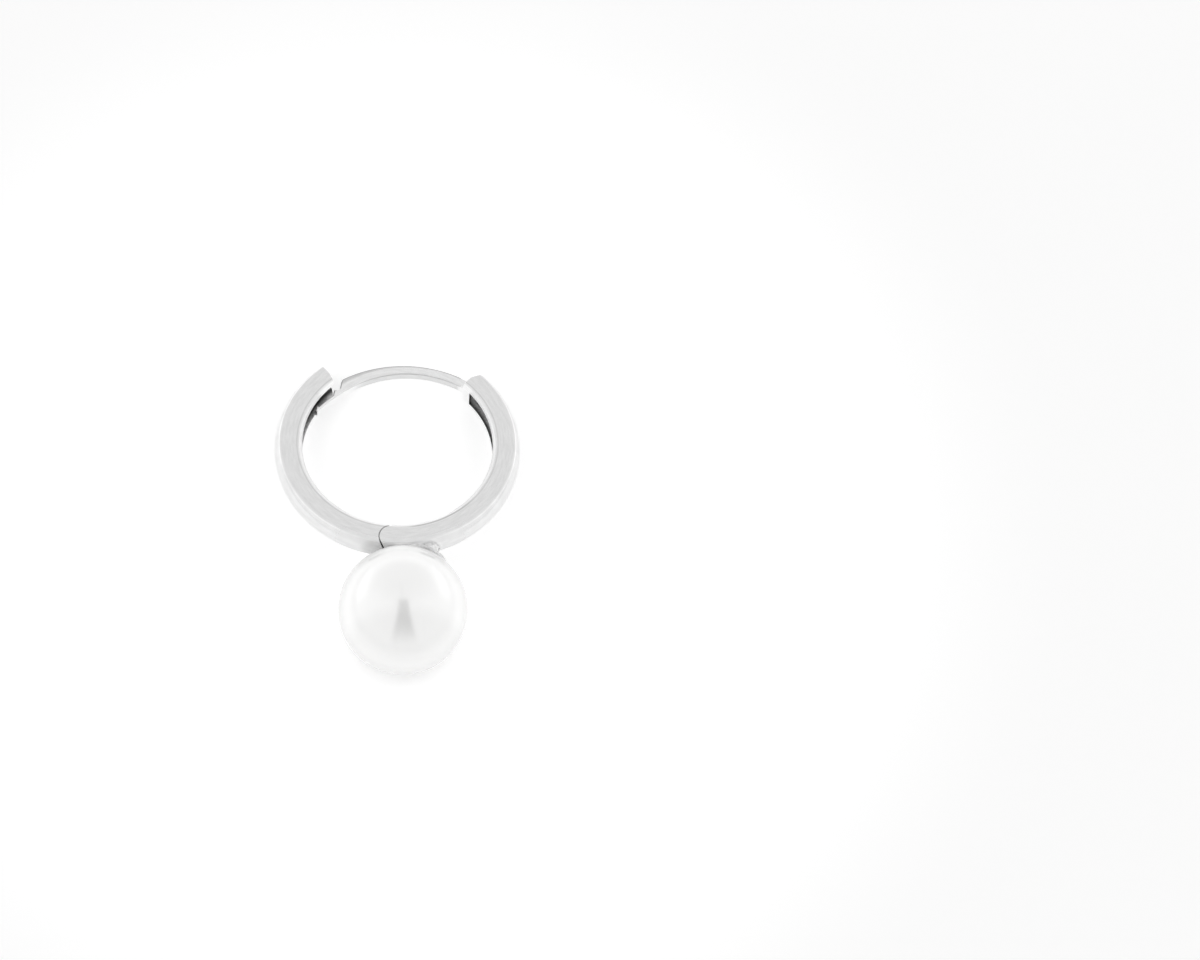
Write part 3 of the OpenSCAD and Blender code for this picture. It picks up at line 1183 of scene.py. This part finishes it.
# Where the tent differs from plain white. A row names a measure of the direction, where its ramp
# is 0 and where it is 1
tentMasks = {
    "grey": (("toGrey", 0.4, 1.0),),
    "sideGlow": (("sideways", 0.5, 0.8), ("z", 0.5, 0.2), ("y", 0.0, 0.4)),
    "horizonGlow": (("y", 0.6, 0.85), ("z", 0.4, 0.1)),
    "overhead": (("z", 0.0, 0.85),),
    "gap": (("intoGap", -0.06, 0.07), ("y", 0.06, -0.14), ("z", -0.02, 0.1)),
    "slit": (("fromSlit", 0.03, 0.0), ("y", -0.05, 0.05), ("z", 0.86, 0.92)),
}


def makeLightTent():
    world = bpy.data.worlds.new("light_tent")
    bpy.context.scene.world = world
    world.use_nodes = True
    desk = NodeDesk(world.node_tree)
    look = desk.add("TexCoord", "Generated", {})
    x, y, z = desk.split(look)
    sideways = desk.math("ABSOLUTE", x)
    rise = desk.math("POWER", desk.math("MAXIMUM", z, 0.0), 2.0)
    gapReach = desk.blend(rise, *studio["gapWidth"])
    on = desk.masks({
        "y": y,
        "z": z,
        "sideways": sideways,
        "toGrey": desk.vector("DOT_PRODUCT", look, studio["greyToward"], "Value"),
        "intoGap": desk.math("SUBTRACT", gapReach, sideways),
        "fromSlit": desk.math("ABSOLUTE", desk.math("SUBTRACT", x, studio["slitX"])),
    }, tentMasks)
    level = desk.blend(on["grey"], studio["whiteLevel"], studio["greyLevel"])
    for glow in ("sideGlow", "horizonGlow"):
        level = desk.math("ADD", level, desk.math("MULTIPLY", on[glow], studio[glow]))

    # the gap at the front that the camera looks through, and a thin slit behind it
    gap = desk.math("MULTIPLY", on["gap"], desk.blend(on["overhead"], *studio["gapDepth"]))
    slit = desk.math("MULTIPLY", on["slit"], studio["slitDepth"])
    for opening in (gap, slit):
        level = desk.shade(level, opening, 0.0)
    desk.put(desk.grey(level), world.node_tree.nodes["Background"].inputs["Color"])


def makeFloor():
    deselectAll()
    bpy.ops.mesh.primitive_plane_add(size=studio["floorSize"])
    floor = bpy.context.object
    floor.name = "floor"
    tone = studio["floorColour"]
    material = newMaterial(
        "pale_floor", Base_Color=(tone, tone, tone, 1), Roughness=0.6, Emission_Color=(1, 1, 1, 1)
    )
    desk = NodeDesk(material.node_tree)
    spot = desk.add("TexCoord", "Object", {})
    away = desk.vector("LENGTH", spot, result="Value")
    fromHoop = desk.vector("DISTANCE", spot, (hoopCentre[0], hoopCentre[1], 0), "Value")
    # painted light: the floor glows, most near the earring, where it lifts the shade, and less round the
    # pearl's foot
    inner, outer, near, far = studio["floorGlowReach"]
    insideGlow, nearGlow, farGlow = studio["floorGlow"]
    glow = desk.ramp(away, near, far, desk.ramp(fromHoop, inner, outer, insideGlow, nearGlow), farGlow)
    low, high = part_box("pearl")
    foot = ((low[0] + high[0]) / 2, (low[1] + high[1]) / 2, 0)
    fromFoot = desk.vector("DISTANCE", spot, foot, "Value")
    glow = desk.math("MULTIPLY", glow, desk.ramp(fromFoot, *studio["footShadow"]))
    shader = material.node_tree.nodes["Principled BSDF"]
    desk.put(glow, shader.inputs["Emission Strength"])
    floor.data.materials.append(material)


setUpCamera()
print("camera set")
polishedMetal, castMetalWithShade, pearlNacre = makePolishedMetal(), makeCastMetal(), makeNacre()
makePostHalf()
print("post half modelled")
makeCatchHalf()
print("catch half modelled")
dressPearl()
print("pearl modelled")
dressHingePin()
makeFloor()
makeLightTent()
bpy.context.scene.view_settings.view_transform = "Standard"
print("floor and light set")
